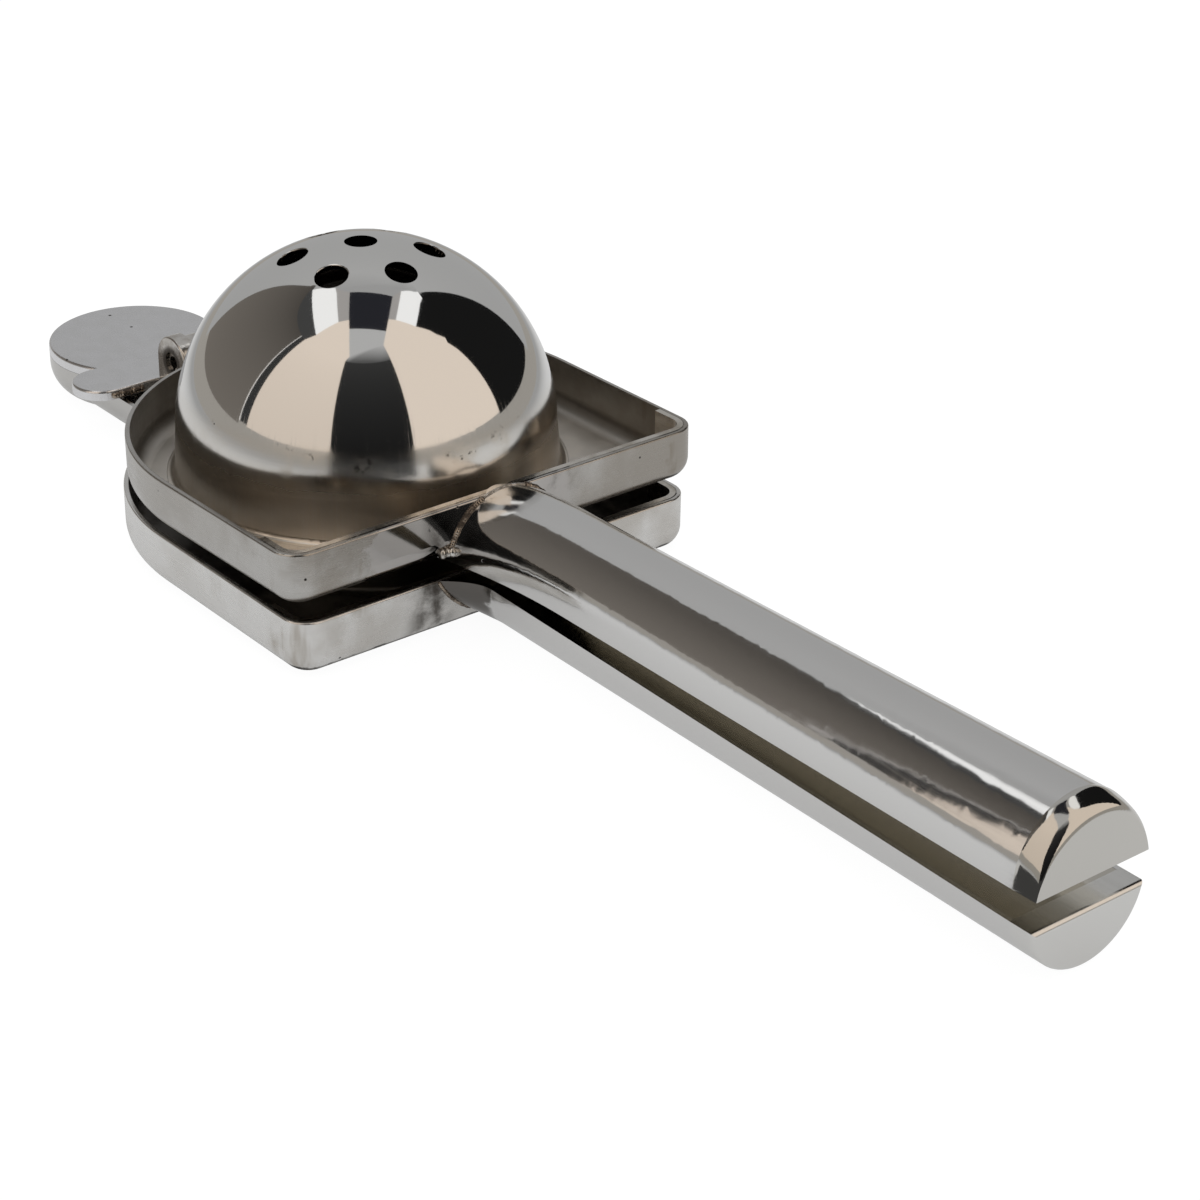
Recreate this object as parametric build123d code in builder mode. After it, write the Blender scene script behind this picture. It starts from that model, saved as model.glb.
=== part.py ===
from build123d import *
from math import cos, radians, sin
import os

os.makedirs("parts", exist_ok=True)

# Hinged lemon squeezer in stainless sheet, lying on its press half.
# Millimetres. +X runs from the hinge to the grips, +Z up. The origin is under the middle of
# the length, in the plane that the press half lies on. Lengths along X are measured from the
# axis of the domes.

# ---------------------------------------------------------------- driving dimensions
SHEET = 0.9                    # wall of every pressed or folded sheet piece
WELD_GAP = 0.05                # between two sheet pieces that are welded together

# the two D-shaped pans: the press pan is narrower and reaches further back
STRAINER_PAN_HALF_WIDTH = 43.6  # outer half width, also the radius of the round back
STRAINER_PAN_ARC_X = 1.5        # centre of the round back
PRESS_PAN_HALF_WIDTH = 42.2
PRESS_PAN_ARC_X = -3.0
PAN_FRONT = 40.4               # outer face of the straight front wall
PAN_CORNER_RADIUS = 5.0        # outer radius of the two front corners, seen from above
PAN_BOTTOM_RADIUS = 4.0        # outer radius between floor and wall
PRESS_DEPTH = 10.4
STRAINER_DEPTH = 10.0
RIM_ROUNDING = 0.35            # of the outer edge of a pan's rim
STRIP_HEIGHT = 5.5             # stiffening strip inside the front wall
STRIP_THICKNESS = 1.1
STRIP_WRAP = 10.0              # how far the strip runs back round each front corner

# the two domes
STRAINER_DOME_RADIUS = 34.0    # outside of the perforated bowl
STRAINER_DOME_DROP = 1.0       # centre of the bowl's sphere below the rim of its pan
STRAINER_DOME_FLARE = 0.6      # how much wider the bowl's skirt is at the floor
DOME_FOOT = 1.3                # how far the foot of a dome turns out into the floor
DOME_FOOT_RADIUS = 1.0         # between the foot and the skirt
PEEL_ROOM = 6.8                # room for the squeezed peel between press dome and bowl
HOLE_RADIUS = 2.9
HOLE_RING_ANGLE = 20.7         # degrees from the bowl's axis to the ring of holes
RING_HOLES = 6
HOLE_ROUNDING = 0.25           # of the outer edge of a hole

# the two grips
GRIP_END = 176.7               # outer face of the end caps
GRIP_ROOT_HALF_WIDTH = 8.6
GRIP_END_HALF_WIDTH = 11.5
STRAINER_GRIP_HEIGHT = 12.0
PRESS_GRIP_HEIGHT = 9.8
STRAINER_FLARE_LENGTH = 27.7   # from the pan wall to the end of the flared root
CAP_LENGTH = 4.6
STRAINER_CAP_DROP = 2.5        # how much lower the crest of its end face is
PRESS_CAP_ROUNDING = 0.8
CAP_SECTIONS = 5               # sections that shape the strainer's cap
STRAINER_ROOT_FLARE = 3.0      # extra half width of the strainer's grip at the pan wall
STRAINER_ROOT_DIP = 1.4        # how much lower its crest is at the pan wall
PRESS_ROOT_FLARE = 5.4
PRESS_ROOT_DIP = 1.0
PRESS_FLARE_LENGTH = 8.0
ROOT_SECTIONS = 5              # sections that shape each flared root

# the tail behind the press pan
TAIL_RADIUS = 16.6
NECK_STEP = 1.2                # how much narrower the neck is than the disc, on each side
TAIL_CENTRE_X = -81.0
TAIL_BOTTOM_RADIUS = 6.5
TAIL_PLATE_THICKNESS = 2.0
TAIL_PLATE_ROUNDING = 0.6      # of its upper edge
BAR_WIDTH = 11.4               # of the bar that the plate forms across the front of its disc
BAR_OVERHANG = 4.9             # how far each round end stands out beyond the disc

# the hinge
HINGE_X = -55.8
HINGE_ABOVE_STRAINER_FLOOR = 3.6
PIN_RADIUS = 2.05
PIN_WALL = 0.8                 # the pin is a slotted spring pin rolled from strip
PIN_SLOT = 0.7
PIN_RECESS = 0.5               # from the outer face of an ear to the end of the pin
BEARING_CLEARANCE = 0.05       # radial, between the pin and the turning knuckle
EAR_RADIUS = 5.1
EAR_THICKNESS = 3.0
EAR_ROUNDING = 0.4             # of the edge of its outer face
HINGE_HALF_WIDTH = 6.6         # to the outer face of an ear
KNUCKLE_RADIUS = 4.4
KNUCKLE_SIDE_CLEARANCE = 0.15
ARM_THICKNESS = 4.0
HEEL_WALL = 1.6                # of the arm's heel in front of the barrel
STOP_CLEARANCE = 0.1           # between the heel and the tail plate when the squeezer is shut

# how the two halves lie
HALF_GAP = 1.2                 # between strainer floor and press rim if they were parallel
SHUT_ANGLE = 1.03              # degrees between the halves when the squeezer is shut

# ---------------------------------------------------------------- derived values
hinge_height = PRESS_DEPTH + HALF_GAP + HINGE_ABOVE_STRAINER_FLOOR
bowl_inner_radius = STRAINER_DOME_RADIUS - SHEET
press_dome_radius = bowl_inner_radius - PEEL_ROOM
bowl_base_radius = STRAINER_DOME_RADIUS + STRAINER_DOME_FLARE + DOME_FOOT
press_dome_base_radius = press_dome_radius + DOME_FOOT
# were the halves parallel, the two domes would have the same centre
press_dome_centre = PRESS_DEPTH + HALF_GAP + STRAINER_DEPTH - STRAINER_DOME_DROP
dome_x = -(GRIP_END + TAIL_CENTRE_X - TAIL_RADIUS) / 2
bar_front = HINGE_X - EAR_RADIUS - WELD_GAP
neck_half_width = TAIL_RADIUS - NECK_STEP
knuckle_half_length = HINGE_HALF_WIDTH - EAR_THICKNESS - KNUCKLE_SIDE_CLEARANCE
knuckle_seat_radius = KNUCKLE_RADIUS + WELD_GAP

# ---------------------------------------------------------------- frames of the two halves
# Each frame has its origin on the dome axis in the plane of the pan's rim, x towards the
# grip and z out of the pan.
press_rim = Plane(origin=(dome_x, 0, PRESS_DEPTH), x_dir=(1, 0, 0), z_dir=(0, 0, 1))

opening_cos = cos(radians(SHUT_ANGLE))
opening_sin = sin(radians(SHUT_ANGLE))
rim_above_hinge = STRAINER_DEPTH - HINGE_ABOVE_STRAINER_FLOOR
strainer_rim = Plane(
    origin=(
        dome_x + HINGE_X - HINGE_X * opening_cos - rim_above_hinge * opening_sin,
        0,
        hinge_height - HINGE_X * opening_sin + rim_above_hinge * opening_cos,
    ),
    x_dir=(opening_cos, 0, opening_sin),
    z_dir=(-opening_sin, 0, opening_cos),
)


def at(frame, x, y, z):
    """The point that has these coordinates in the frame of a half."""
    return frame.from_local_coords(Vector(x, y, z))


def cross_plane(frame, x, z=0.0):
    """Plane across the grip at x, with its own x to the side and its own y up."""
    return Plane(origin=at(frame, x, 0, z), x_dir=frame.y_dir, z_dir=frame.x_dir)


def side_plane(frame, y=0.0):
    """Upright plane along the grip at y, with its own x towards the grip and its own y up."""
    return Plane(origin=at(frame, 0, y, 0), x_dir=frame.x_dir, z_dir=-frame.y_dir)


def up(frame):
    """Axis out of the pan, for sorting faces and edges by height."""
    return Axis(frame.origin, frame.z_dir)


def finish(part, name):
    """Labels a finished piece and writes it."""
    part.label = name
    export_step(part, f"parts/{name}.step")


# ---------------------------------------------------------------- pans
def pan_outline(half_width, arc_x, inset=0.0):
    """The D-shaped outline of a pan, drawn in by inset."""
    half = half_width - inset
    front = PAN_FRONT - inset
    with BuildSketch() as outline:
        with BuildLine():
            Polyline((arc_x, -half), (front, -half), (front, half), (arc_x, half))
            ThreePointArc((arc_x, half), (arc_x - half, 0), (arc_x, -half))
        make_face()
        fillet(outline.vertices().group_by(Axis.X)[-1], PAN_CORNER_RADIUS - inset)
    return outline.sketch


def pan_block(frame, depth, half_width, arc_x, inset=0.0):
    """The solid that the outside of a pan bounds, drawn in by inset at its walls and floor."""
    with BuildPart() as block:
        with BuildSketch(frame.offset(inset - depth)):
            add(pan_outline(half_width, arc_x, inset))
        extrude(amount=depth - inset)
        fillet(block.faces().sort_by(up(frame))[0].edges(), PAN_BOTTOM_RADIUS - inset)
    return block.part


def make_pan(frame, depth, half_width, arc_x, mouth_radius):
    """A pressed pan, open at its rim, with a round mouth in its floor for the dome."""
    with BuildPart() as pan:
        add(pan_block(frame, depth, half_width, arc_x))
        add(pan_block(frame, depth, half_width, arc_x, SHEET), mode=Mode.SUBTRACT)
        with BuildSketch(frame.offset(-depth)):
            Circle(mouth_radius)
        extrude(amount=SHEET, mode=Mode.SUBTRACT)
        rim = pan.faces().sort_by(up(frame))[-1]
        fillet(rim.outer_wire().edges(), RIM_ROUNDING)
    return pan.part


def make_front_strip(frame, half_width, arc_x):
    """The strip inside the front wall, bent round both front corners."""
    inset = SHEET + WELD_GAP
    with BuildPart() as strip:
        with BuildSketch(frame.offset(-STRIP_HEIGHT)):
            add(pan_outline(half_width, arc_x, inset))
            add(pan_outline(half_width, arc_x, inset + STRIP_THICKNESS), mode=Mode.SUBTRACT)
            with Locations((PAN_FRONT - STRIP_WRAP, 0)):
                Rectangle(2 * PAN_FRONT, 3 * half_width, align=(Align.MAX, Align.CENTER),
                          mode=Mode.SUBTRACT)
        extrude(amount=STRIP_HEIGHT)
    return strip.part


finish(make_pan(press_rim, PRESS_DEPTH, PRESS_PAN_HALF_WIDTH, PRESS_PAN_ARC_X,
                press_dome_base_radius + WELD_GAP), "press_pan")
finish(make_pan(strainer_rim, STRAINER_DEPTH, STRAINER_PAN_HALF_WIDTH, STRAINER_PAN_ARC_X,
                bowl_base_radius + WELD_GAP), "strainer_pan")
finish(make_front_strip(press_rim, PRESS_PAN_HALF_WIDTH, PRESS_PAN_ARC_X), "press_front_strip")
finish(make_front_strip(strainer_rim, STRAINER_PAN_HALF_WIDTH, STRAINER_PAN_ARC_X),
       "strainer_front_strip")

# the outsides of the two pans, to which the pieces that meet them are trimmed
press_block = pan_block(press_rim, PRESS_DEPTH, PRESS_PAN_HALF_WIDTH, PRESS_PAN_ARC_X)
strainer_block = pan_block(strainer_rim, STRAINER_DEPTH, STRAINER_PAN_HALF_WIDTH, STRAINER_PAN_ARC_X)


# ---------------------------------------------------------------- domes
def make_dome(frame, depth, centre, radius, flare):
    """A pressed dome on a skirt whose foot turns out and lies flush in the floor of its pan."""
    floor = SHEET - depth
    base = radius + flare
    inner = radius - SHEET
    slant = radius * cos(radians(45))
    inner_slant = inner * cos(radians(45))
    with BuildPart() as dome:
        with BuildSketch(side_plane(frame)) as profile:
            with BuildLine():
                foot = Polyline((base + DOME_FOOT, -depth), (base + DOME_FOOT, floor), (base, floor))
                skirt = Line(foot @ 1, (radius, centre))
                outside = ThreePointArc(skirt @ 1, (slant, centre + slant), (0, centre + radius))
                top = Line(outside @ 1, (0, centre + inner))
                inside = ThreePointArc(top @ 1, (inner_slant, centre + inner_slant), (inner, centre))
                bore = Line(inside @ 1, (base - SHEET, -depth))
                Line(bore @ 1, foot @ 0)
            make_face()
            fillet(profile.vertices().sort_by_distance((base, floor))[0], DOME_FOOT_RADIUS)
            fillet(profile.vertices().sort_by_distance((base - SHEET, -depth))[0],
                   DOME_FOOT_RADIUS + SHEET)
        revolve(axis=up(frame))
    return dome.part


press_dome = make_dome(press_rim, PRESS_DEPTH, press_dome_centre - PRESS_DEPTH, press_dome_radius, 0)
finish(press_dome, "press_dome")

# The bowl is drilled once on its axis and six times round it, each hole square to the sheet.
with BuildPart() as strainer_dome:
    add(make_dome(strainer_rim, STRAINER_DEPTH, -STRAINER_DOME_DROP, STRAINER_DOME_RADIUS,
                  STRAINER_DOME_FLARE))
    bowl_centre = at(strainer_rim, 0, 0, -STRAINER_DOME_DROP)
    hole_directions = [strainer_rim.z_dir]
    for hole in range(RING_HOLES):
        swing = strainer_rim.x_dir.rotate(Axis((0, 0, 0), strainer_rim.z_dir), hole * 360 / RING_HOLES)
        lean = radians(HOLE_RING_ANGLE)
        hole_directions.append(strainer_rim.z_dir * cos(lean) + swing * sin(lean))
    for direction in hole_directions:
        with BuildSketch(Plane(origin=bowl_centre + direction * bowl_inner_radius, z_dir=direction)):
            Circle(HOLE_RADIUS)
    extrude(amount=2 * SHEET, both=True, mode=Mode.SUBTRACT)
    bowl = strainer_dome.faces().filter_by(GeomType.SPHERE).sort_by(SortBy.AREA)[-1]
    fillet([wire.edges() for wire in bowl.inner_wires()], HOLE_ROUNDING)
finish(strainer_dome.part, "strainer_dome")


# ---------------------------------------------------------------- grips
# Both grips are the same sheet work: a half-round shell that tapers towards the pan and
# flares again where it meets the front wall, a flat plate let in between its edges, and a
# pressed cap. The strainer's crest points up and the press's crest points down.
grip_start = PAN_FRONT - PAN_BOTTOM_RADIUS
cap_start = GRIP_END - CAP_LENGTH


def grip_half_width(x):
    """Half width of the flat of a grip on its straight taper."""
    along = (x - PAN_FRONT) / (GRIP_END - PAN_FRONT)
    return GRIP_ROOT_HALF_WIDTH + along * (GRIP_END_HALF_WIDTH - GRIP_ROOT_HALF_WIDTH)


def grip_stations(flare, dip, flare_length):
    """Places along the flared root, each with its half width and how much lower its crest is."""
    stations = []
    for step in range(ROOT_SECTIONS):
        x = grip_start + (PAN_FRONT + flare_length - grip_start) * step / (ROOT_SECTIONS - 1)
        rise = (PAN_FRONT + flare_length - x) / flare_length
        stations.append((x, grip_half_width(x) + flare * rise**2, dip * rise**4))
    return stations


def round_section(plane, half_width, height):
    """Half-round section of a grip: a flat with one arc. The height is negative below it."""
    with BuildSketch(plane) as section:
        with BuildLine():
            flat = Line((-half_width, 0), (half_width, 0))
            ThreePointArc(flat @ 1, (0, height), flat @ 0)
        make_face()
    return section.sketch


def grip_solid(frame, flat_z, height, stations, wall):
    """The outside of a grip shell, or its hollow when wall is the thickness of the sheet."""
    sign = 1 if height > 0 else -1
    root = []
    for x, half_width, dip in stations:
        crest = height - sign * (dip + wall)
        root.append(round_section(cross_plane(frame, x, flat_z), half_width - wall, crest))
    taper = []
    for x in (stations[-1][0], cap_start):
        crest = height - sign * wall
        taper.append(round_section(cross_plane(frame, x, flat_z), grip_half_width(x) - wall, crest))
    with BuildPart() as solid:
        loft(sections=root)
        loft(sections=taper, ruled=True)
    return solid.part


def make_grip_shell(frame, block, flat_z, height, stations):
    """The half-round shell of a grip, trimmed to the outside of its pan."""
    with BuildPart() as shell:
        add(grip_solid(frame, flat_z, height, stations, 0))
        add(grip_solid(frame, flat_z, height, stations, SHEET), mode=Mode.SUBTRACT)
        add(block, mode=Mode.SUBTRACT)
    return shell.part


def make_grip_plate(frame, block, flat_z, height, stations):
    """The flat plate that is let in between the edges of a grip shell."""
    sign = 1 if height > 0 else -1
    with BuildPart() as plate:
        add(grip_solid(frame, flat_z, height, stations, SHEET + WELD_GAP))
        split(bisect_by=frame.offset(flat_z + sign * SHEET), keep=Keep.BOTTOM if sign > 0 else Keep.TOP)
        add(block, mode=Mode.SUBTRACT)
    return plate.part


strainer_stations = grip_stations(STRAINER_ROOT_FLARE, STRAINER_ROOT_DIP, STRAINER_FLARE_LENGTH)
press_stations = grip_stations(PRESS_ROOT_FLARE, PRESS_ROOT_DIP, PRESS_FLARE_LENGTH)
strainer_grip = (strainer_rim, strainer_block, -STRAINER_DEPTH, STRAINER_GRIP_HEIGHT, strainer_stations)
press_grip = (press_rim, press_block, 0, -PRESS_GRIP_HEIGHT, press_stations)

finish(make_grip_shell(*strainer_grip), "strainer_grip_shell")
finish(make_grip_plate(*strainer_grip), "strainer_grip_plate")
finish(make_grip_shell(*press_grip), "press_grip_shell")
finish(make_grip_plate(*press_grip), "press_grip_plate")

# The strainer's cap bends down to its end face in a quarter of an ellipse, the press's cap is
# straight with a rounded edge.
with BuildPart() as strainer_end_cap:
    cap_sections = []
    for step in range(CAP_SECTIONS):
        turn = radians(90 * step / (CAP_SECTIONS - 1))
        cap_plane = cross_plane(strainer_rim, cap_start + CAP_LENGTH * sin(turn), -STRAINER_DEPTH)
        crest = STRAINER_GRIP_HEIGHT - STRAINER_CAP_DROP * (1 - cos(turn))
        cap_sections.append(round_section(cap_plane, grip_half_width(cap_start), crest))
    loft(sections=cap_sections)
finish(strainer_end_cap.part, "strainer_end_cap")

with BuildPart() as press_end_cap:
    press_section = round_section(cross_plane(press_rim, cap_start), grip_half_width(cap_start),
                                  -PRESS_GRIP_HEIGHT)
    extrude(to_extrude=press_section, amount=CAP_LENGTH)
    fillet(press_end_cap.faces().sort_by(Axis.X)[-1].edges(), PRESS_CAP_ROUNDING)
finish(press_end_cap.part, "press_end_cap")


# ---------------------------------------------------------------- tail
# A pressed trough with a round bottom: a neck from the pan that ends in a disc. It is trimmed
# to the back of the pan and open under its plate.
with BuildPart() as tail_shell:
    with BuildSketch(press_rim.offset(-PRESS_DEPTH)):
        with Locations((TAIL_CENTRE_X, 0)):
            Circle(TAIL_RADIUS)
            Rectangle(-TAIL_CENTRE_X - press_dome_base_radius, 2 * neck_half_width,
                      align=(Align.MIN, Align.CENTER))
    extrude(amount=PRESS_DEPTH - TAIL_PLATE_THICKNESS - WELD_GAP)
    fillet(tail_shell.faces().sort_by(Axis.Z)[0].edges(), TAIL_BOTTOM_RADIUS)
    hollow_top = tail_shell.faces().sort_by(Axis.Z)[-1]
    offset(amount=-SHEET, openings=hollow_top)
    add(press_block, mode=Mode.SUBTRACT)
finish(tail_shell.part, "tail_shell")

# One plate covers the disc and forms a bar with round ends across the neck. Its top is flush
# with the rim of the pan.
with BuildPart() as tail_plate:
    with BuildSketch(press_rim.offset(-TAIL_PLATE_THICKNESS)):
        with Locations((TAIL_CENTRE_X, 0)):
            Circle(TAIL_RADIUS)
        with Locations((bar_front - BAR_WIDTH / 2, 0)):
            SlotOverall(2 * (TAIL_RADIUS + BAR_OVERHANG), BAR_WIDTH, rotation=90)
    extrude(amount=TAIL_PLATE_THICKNESS)
    fillet(tail_plate.faces().sort_by(Axis.Z)[-1].edges(), TAIL_PLATE_ROUNDING)
finish(tail_plate.part, "tail_plate")


# ---------------------------------------------------------------- hinge
# Two upright ears stand in the neck against the tail plate and hold a spring pin. The
# strainer half turns on it with a barrel that an arm joins to the back of its pan.
hinge_in_press = (HINGE_X, hinge_height - PRESS_DEPTH)
hinge_in_strainer = (HINGE_X, HINGE_ABOVE_STRAINER_FLOOR - STRAINER_DEPTH)
ear_foot = SHEET + WELD_GAP - PRESS_DEPTH

for name, upper_y, outward in (("left_hinge_ear", HINGE_HALF_WIDTH, 1),
                               ("right_hinge_ear", EAR_THICKNESS - HINGE_HALF_WIDTH, -1)):
    with BuildPart() as ear:
        with BuildSketch(side_plane(press_rim, upper_y)):
            with Locations(hinge_in_press):
                Circle(EAR_RADIUS)
                Rectangle(2 * EAR_RADIUS, hinge_in_press[1] - ear_foot, align=(Align.CENTER, Align.MAX))
                Circle(PIN_RADIUS, mode=Mode.SUBTRACT)
        extrude(amount=EAR_THICKNESS)
        outer_face = ear.faces().sort_by(Axis.Y)[-1 if outward > 0 else 0]
        fillet(outer_face.outer_wire().edges(), EAR_ROUNDING)
    finish(ear.part, name)

with BuildPart() as hinge_pin:
    with BuildSketch(side_plane(press_rim, HINGE_HALF_WIDTH - PIN_RECESS)):
        with Locations(hinge_in_press):
            Circle(PIN_RADIUS)
            Circle(PIN_RADIUS - PIN_WALL, mode=Mode.SUBTRACT)
            Rectangle(PIN_SLOT, PIN_RADIUS, align=(Align.CENTER, Align.MAX), mode=Mode.SUBTRACT)
    extrude(amount=2 * (HINGE_HALF_WIDTH - PIN_RECESS))
finish(hinge_pin.part, "hinge_pin")

with BuildPart() as hinge_barrel:
    with BuildSketch(side_plane(strainer_rim, knuckle_half_length)):
        with Locations(hinge_in_strainer):
            Circle(KNUCKLE_RADIUS)
            Circle(PIN_RADIUS + BEARING_CLEARANCE, mode=Mode.SUBTRACT)
    extrude(amount=2 * knuckle_half_length)
finish(hinge_barrel.part, "hinge_barrel")

# The arm's heel reaches down between the ears. It meets the front of the tail plate when the
# squeezer is shut, so it is drawn in the frame of the press half.
heel_back = bar_front + STOP_CLEARANCE
heel_top = hinge_in_press[1] - ARM_THICKNESS / 4
with BuildPart() as hinge_arm:
    with BuildSketch(side_plane(strainer_rim, knuckle_half_length)):
        with Locations(hinge_in_strainer):
            Rectangle(-HINGE_X - bowl_inner_radius, ARM_THICKNESS, align=(Align.MIN, Align.CENTER))
            Circle(knuckle_seat_radius, mode=Mode.SUBTRACT)
    extrude(amount=2 * knuckle_half_length)
    with BuildSketch(side_plane(press_rim, knuckle_half_length)):
        with Locations((heel_back, -TAIL_PLATE_THICKNESS)):
            Rectangle(HINGE_X + KNUCKLE_RADIUS + HEEL_WALL - heel_back, heel_top + TAIL_PLATE_THICKNESS,
                      align=Align.MIN)
        with Locations(hinge_in_press):
            Circle(knuckle_seat_radius, mode=Mode.SUBTRACT)
    extrude(amount=2 * knuckle_half_length)
    add(strainer_block, mode=Mode.SUBTRACT)
finish(hinge_arm.part, "hinge_arm")
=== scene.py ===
from math import asin, cos, radians, sin

import bpy
from mathutils import Euler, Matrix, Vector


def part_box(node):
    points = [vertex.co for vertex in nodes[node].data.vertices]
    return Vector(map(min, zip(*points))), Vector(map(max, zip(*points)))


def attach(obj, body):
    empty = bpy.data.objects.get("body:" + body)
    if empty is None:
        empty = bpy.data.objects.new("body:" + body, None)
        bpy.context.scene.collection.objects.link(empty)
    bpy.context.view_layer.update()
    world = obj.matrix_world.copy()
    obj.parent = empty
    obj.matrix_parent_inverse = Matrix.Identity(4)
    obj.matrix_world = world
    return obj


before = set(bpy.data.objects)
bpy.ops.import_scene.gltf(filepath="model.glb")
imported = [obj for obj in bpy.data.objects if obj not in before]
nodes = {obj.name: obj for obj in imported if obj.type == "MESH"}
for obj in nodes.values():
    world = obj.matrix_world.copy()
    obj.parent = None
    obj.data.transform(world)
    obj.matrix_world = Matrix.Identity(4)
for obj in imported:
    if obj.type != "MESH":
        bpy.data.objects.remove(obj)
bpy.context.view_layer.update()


# ---------------------------------------------------------------- the two pans
# Each half has a D-shaped pan of stainless sheet, pressed, trimmed and tumbled to a satin
# finish. The inside of each pan is painted with light and shade, and the strainer's wall is painted
# darker as shade; juice and heat have left smears and small pits on the walls;
# the front wall of the strainer's pan is buffed smooth round its grip and to the right of it.
def place(tree, kind, inputs=(), **settings):
    """Adds a node with its settings and its inputs, each a value or another node's output."""
    node = tree.nodes.new(kind)
    for name, value in settings.items():
        setattr(node, name, value)
    for key, value in dict(inputs).items():
        if isinstance(value, bpy.types.NodeSocket):
            tree.links.new(value, node.inputs[key])
        else:
            node.inputs[key].default_value = value
    return node


def maths(tree, operation, first, second=0.0):
    """The output of a Math node."""
    return place(tree, "ShaderNodeMath", {0: first, 1: second}, operation=operation).outputs[0]


def vector_maths(tree, operation, first, second=(0, 0, 0)):
    """The output of a Vector Math node."""
    node = place(tree, "ShaderNodeVectorMath", {0: first, 1: second}, operation=operation)
    return node.outputs["Value" if operation == "LENGTH" else "Vector"]


def split(tree, vector):
    """The X, Y and Z outputs of a vector."""
    return place(tree, "ShaderNodeSeparateXYZ", {0: vector}).outputs


def pair(tree, first, second):
    """A vector of two values."""
    return place(tree, "ShaderNodeCombineXYZ", {0: first, 1: second}).outputs[0]


def spread(tree, value, low, high, to_low=0.0, to_high=1.0):
    """Maps a value that runs from low to high smoothly onto another span."""
    ends = {"Value": value, "From Min": low, "From Max": high, "To Min": to_low, "To Max": to_high}
    return place(tree, "ShaderNodeMapRange", ends, interpolation_type="SMOOTHSTEP").outputs[0]


def product(tree, *factors):
    """Multiplies any number of values."""
    total = factors[0]
    for factor in factors[1:]:
        total = maths(tree, "MULTIPLY", total, factor)
    return total


def blend_colours(tree, share, first, second):
    """Mixes two colours by a share."""
    mix = place(tree, "ShaderNodeMix", {0: share, 6: first, 7: second}, data_type="RGBA")
    return mix.outputs[2]


def new_group(name, inputs, outputs):
    """A shader node group with named inputs, each with its default, and named value outputs."""
    tree = bpy.data.node_groups.new(name, "ShaderNodeTree")
    for label, default in inputs.items():
        kind = "NodeSocketFloat" if isinstance(default, float) else "NodeSocketVector"
        tree.interface.new_socket(label, in_out="INPUT", socket_type=kind).default_value = default
    for label in outputs:
        tree.interface.new_socket(label, in_out="OUTPUT", socket_type="NodeSocketFloat")
    return tree, tree.nodes.new("NodeGroupInput").outputs, tree.nodes.new("NodeGroupOutput")


# Fine lines that a belt or a die leaves: noise drawn out along one direction.
grain, given, result = new_group(
    "grain", {"Place": (0, 0, 0), "Lines per metre": (1, 1, 1)}, ["Lines"])
drawn_out = vector_maths(grain, "MULTIPLY", given["Place"], given["Lines per metre"])
lines = place(grain, "ShaderNodeTexNoise", {"Vector": drawn_out, "Scale": 1.0, "Detail": 4.0,
                                            "Roughness": 0.65})
grain.links.new(lines.outputs["Fac"], result.inputs["Lines"])

# Small dark pits, each in a cell of its own, in only some of the cells.
pits, given, result = new_group(
    "pits", {"Place": (0, 0, 0), "Spacing": 0.004, "Size": 0.08, "Share": 0.3}, ["Pits"])
per_metre = maths(pits, "DIVIDE", 1.0, given["Spacing"])
cells = place(pits, "ShaderNodeTexVoronoi", {"Vector": given["Place"], "Scale": per_metre})
edge = maths(pits, "MULTIPLY", given["Size"], 0.5)
pit = spread(pits, cells.outputs["Distance"], given["Size"], edge)
chance = place(pits, "ShaderNodeSeparateColor", {0: cells.outputs["Color"]}).outputs[0]
chosen = maths(pits, "LESS_THAN", chance, given["Share"])
pits.links.new(maths(pits, "MULTIPLY", pit, chosen), result.inputs["Pits"])

# Cloudy stains with soft edges.
stains, given, result = new_group(
    "stains", {"Place": (0, 0, 0), "Width": 0.01, "From": 0.5, "To": 0.7}, ["Stains"])
per_metre = maths(stains, "DIVIDE", 1.0, given["Width"])
cloud = place(stains, "ShaderNodeTexNoise", {"Vector": given["Place"], "Scale": per_metre,
                                             "Detail": 5.0, "Roughness": 0.6})
stain = spread(stains, cloud.outputs["Fac"], given["From"], given["To"])
stains.links.new(stain, result.inputs["Stains"])

# How deep a point lies inside the D-shaped outline of a pan, in metres.
pan_depth, given, result = new_group(
    "pan_depth", {"Place": (0, 0, 0), "Back centre": 0.0, "Half width": 0.04, "Front": 0.0,
                  "Corner": 0.005}, ["Depth"])
point = split(pan_depth, given["Place"])
across = maths(pan_depth, "ABSOLUTE", point[1])
ahead = maths(pan_depth, "SUBTRACT", point[0], given["Back centre"])
from_back_centre = pair(pan_depth, maths(pan_depth, "MINIMUM", ahead, 0.0), across)
from_side = maths(pan_depth, "SUBTRACT", given["Half width"],
                  vector_maths(pan_depth, "LENGTH", from_back_centre))
past_side, past_front = (
    maths(pan_depth, "ADD", maths(pan_depth, "SUBTRACT", value, given[limit]), given["Corner"])
    for value, limit in ((across, "Half width"), (point[0], "Front")))
past_corner = pair(pan_depth, maths(pan_depth, "MAXIMUM", past_side, 0.0),
                   maths(pan_depth, "MAXIMUM", past_front, 0.0))
within = maths(pan_depth, "MINIMUM", maths(pan_depth, "MAXIMUM", past_side, past_front), 0.0)
beyond = maths(pan_depth, "ADD", vector_maths(pan_depth, "LENGTH", past_corner), within)
from_front = maths(pan_depth, "SUBTRACT", given["Corner"], beyond)
pan_depth.links.new(maths(pan_depth, "MINIMUM", from_side, from_front), result.inputs["Depth"])


def use(tree, group, **inputs):
    """Places a node group and returns its output. Underscores stand for spaces."""
    named = {name.replace("_", " "): value for name, value in inputs.items()}
    return place(tree, "ShaderNodeGroup", named, node_tree=group).outputs[0]


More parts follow.
